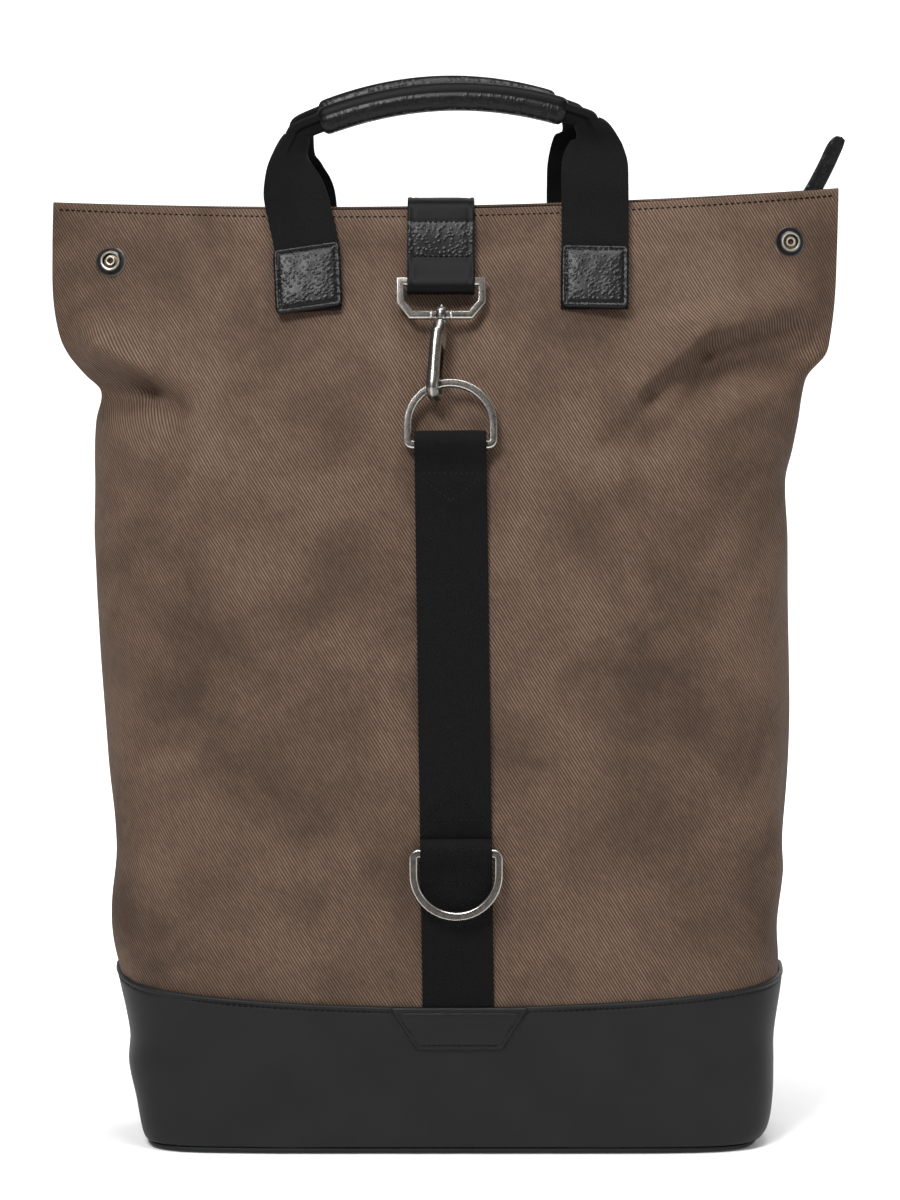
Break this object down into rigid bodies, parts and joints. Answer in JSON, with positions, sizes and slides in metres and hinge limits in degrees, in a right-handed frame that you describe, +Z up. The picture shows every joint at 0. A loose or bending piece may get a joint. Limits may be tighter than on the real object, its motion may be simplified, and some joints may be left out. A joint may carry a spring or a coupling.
{
  "type": "convertible backpack",
  "caption": "Soft backpack with a canvas body on a leather base, grab handles, a ring and swivel hook closure on a front strap, and shoulder straps on the back.",
  "frame": {"origin": "middle of the flat bottom, on the floor", "axes": "+Z up the bag, -Y out of the front with the ring and hook closure, +X to the right of someone facing the front"},
  "size_m": [0.3936, 0.18, 0.5304],
  "materials": {
    "canvas": "taupe brown twill canvas, matt",
    "base_leather": "smooth charcoal leather, matt",
    "grain_leather": "pebbled near-black leather, soft sheen",
    "webbing": "black herringbone webbing, matt",
    "padding": "black padded fabric, matt",
    "nickel": "antique nickel plate, brushed sheen"
  },
  "bodies": {
    "bag": {"front_canvas_panel": "canvas", "back_canvas_panel": "canvas", "leather_front_panel": "base_leather", "leather_back_panel": "base_leather", "bottom_panel": "base_leather", "closure_strap": "grain_leather", "label_patch": "grain_leather", "front_grip": "grain_leather", "rear_grip": "grain_leather", "front_left_patch": "grain_leather", "front_right_patch": "grain_leather", "rear_left_patch": "grain_leather", "rear_right_patch": "grain_leather", "zip_end_tab": "grain_leather", "top_anchor_patch": "grain_leather", "right_lower_anchor": "grain_leather", "left_lower_anchor": "grain_leather", "upper_strap": "webbing", "lower_strap": "webbing", "front_handle_strap": "webbing", "rear_handle_strap": "webbing", "zip_tape_front": "webbing", "zip_tape_back": "webbing", "right_lower_webbing": "webbing", "left_lower_webbing": "webbing", "right_shoulder_pad": "padding", "left_shoulder_pad": "padding", "swivel_loop": "nickel", "upper_d_ring": "nickel", "snap_hook": "nickel", "left_press_snap": "nickel", "right_press_snap": "nickel", "zip_slider": "nickel", "right_strap_adjuster": "nickel", "left_strap_adjuster": "nickel"},
    "hook_gate": {"hook_gate": "nickel"},
    "lower_d_ring": {"lower_d_ring": "nickel"}
  },
  "joints": [
    {"name": "hook_gate_hinge", "type": "hinge", "parent": "bag", "child": "hook_gate", "pos_m": [-0.00257, -0.03804, 0.39799], "axis": [-0.9636, 0.2671, -0.0135], "range_deg": [0, 25], "stiffness_Nm_per_rad": 0.002, "springref_deg": -17.19},
    {"name": "lower_d_ring_hinge", "type": "hinge", "parent": "bag", "child": "lower_d_ring", "pos_m": [0.00498, -0.0653, 0.152], "axis": [-1, 0, 0], "range_deg": [0, 160]}
  ]
}
